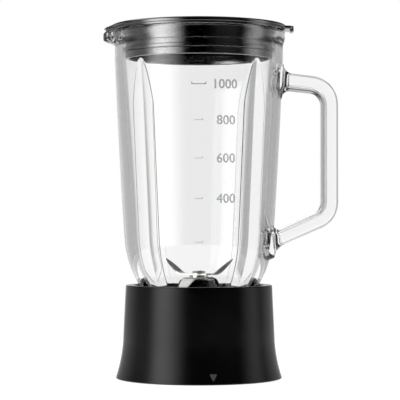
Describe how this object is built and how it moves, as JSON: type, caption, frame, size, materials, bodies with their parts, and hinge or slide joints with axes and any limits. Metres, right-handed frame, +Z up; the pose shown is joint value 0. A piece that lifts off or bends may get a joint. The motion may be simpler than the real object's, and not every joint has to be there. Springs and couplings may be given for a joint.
{
  "type": "countertop blender jug unit",
  "caption": "Blender jug unit: clear ribbed glass jug with D handle and spout, hollow black lid with filler cap, bent blades and a flared black drive collar.",
  "frame": {"origin": "on the blade axis in the bottom plane of the drive collar, at the mouth of the plinth socket", "axes": "+Z up along the blade axis, +X towards the handle, -X towards the spout, -Y towards the measuring scale"},
  "size_m": [0.1639, 0.1232, 0.2486],
  "materials": {
    "jug_glass": "clear, smooth",
    "gloss_black": "polished black",
    "matte_black": "fine matte",
    "black_nylon": "satin moulded",
    "seal_rubber": "smooth silicone",
    "coupling_rubber": "matte",
    "stainless_steel": "ground and polished",
    "zinc_steel": "bright zinc plate",
    "sintered_bronze": "sintered, oiled",
    "insert_brass": "machined"
  },
  "bodies": {
    "collar": {"collar_shell": "matte_black", "jug_seat": "black_nylon", "seat_screws": "zinc_steel"},
    "blade_unit": {"blade_housing": "black_nylon", "upper_bush": "sintered_bronze", "lower_bush": "sintered_bronze", "shaft_seal": "seal_rubber", "seal_cover": "stainless_steel"},
    "rotor": {"blade_shaft": "stainless_steel", "retaining_ring": "stainless_steel", "upper_thrust_washer": "stainless_steel", "lower_thrust_washer": "stainless_steel", "lower_blade": "stainless_steel", "blade_spacer": "stainless_steel", "upper_blade": "stainless_steel", "lock_washer": "stainless_steel", "blade_nut": "stainless_steel", "drive_coupling": "coupling_rubber", "coupling_insert": "insert_brass", "coupling_screw": "zinc_steel"},
    "gasket": {"jug_gasket": "seal_rubber"},
    "jug": {"glass_jug": "jug_glass"},
    "lid": {"lid": "gloss_black", "lid_seal": "seal_rubber"},
    "cap": {"filler_cap": "gloss_black", "filler_cap_seal": "seal_rubber"}
  },
  "joints": [
    {"name": "blade_unit_lift", "type": "slide", "parent": "collar", "child": "blade_unit", "axis": [0, 0, 1], "range_m": [0, 0.05]},
    {"name": "blade_spin", "type": "hinge", "parent": "blade_unit", "child": "rotor", "pos_m": [0, 0, 0.0602], "axis": [0, 0, 1], "continuous": true},
    {"name": "jug_turn", "type": "hinge", "parent": "blade_unit", "child": "gasket", "pos_m": [0, 0, 0.046], "axis": [0, 0, 1], "range_deg": [-30, 0]},
    {"name": "jug_lift", "type": "slide", "parent": "gasket", "child": "jug", "axis": [0, 0, 1], "range_m": [0, 0.07]},
    {"name": "lid_lift", "type": "slide", "parent": "jug", "child": "lid", "axis": [0, 0, 1], "range_m": [0, 0.06]},
    {"name": "cap_lift", "type": "slide", "parent": "lid", "child": "cap", "axis": [0, 0, 1], "range_m": [0, 0.04]}
  ]
}
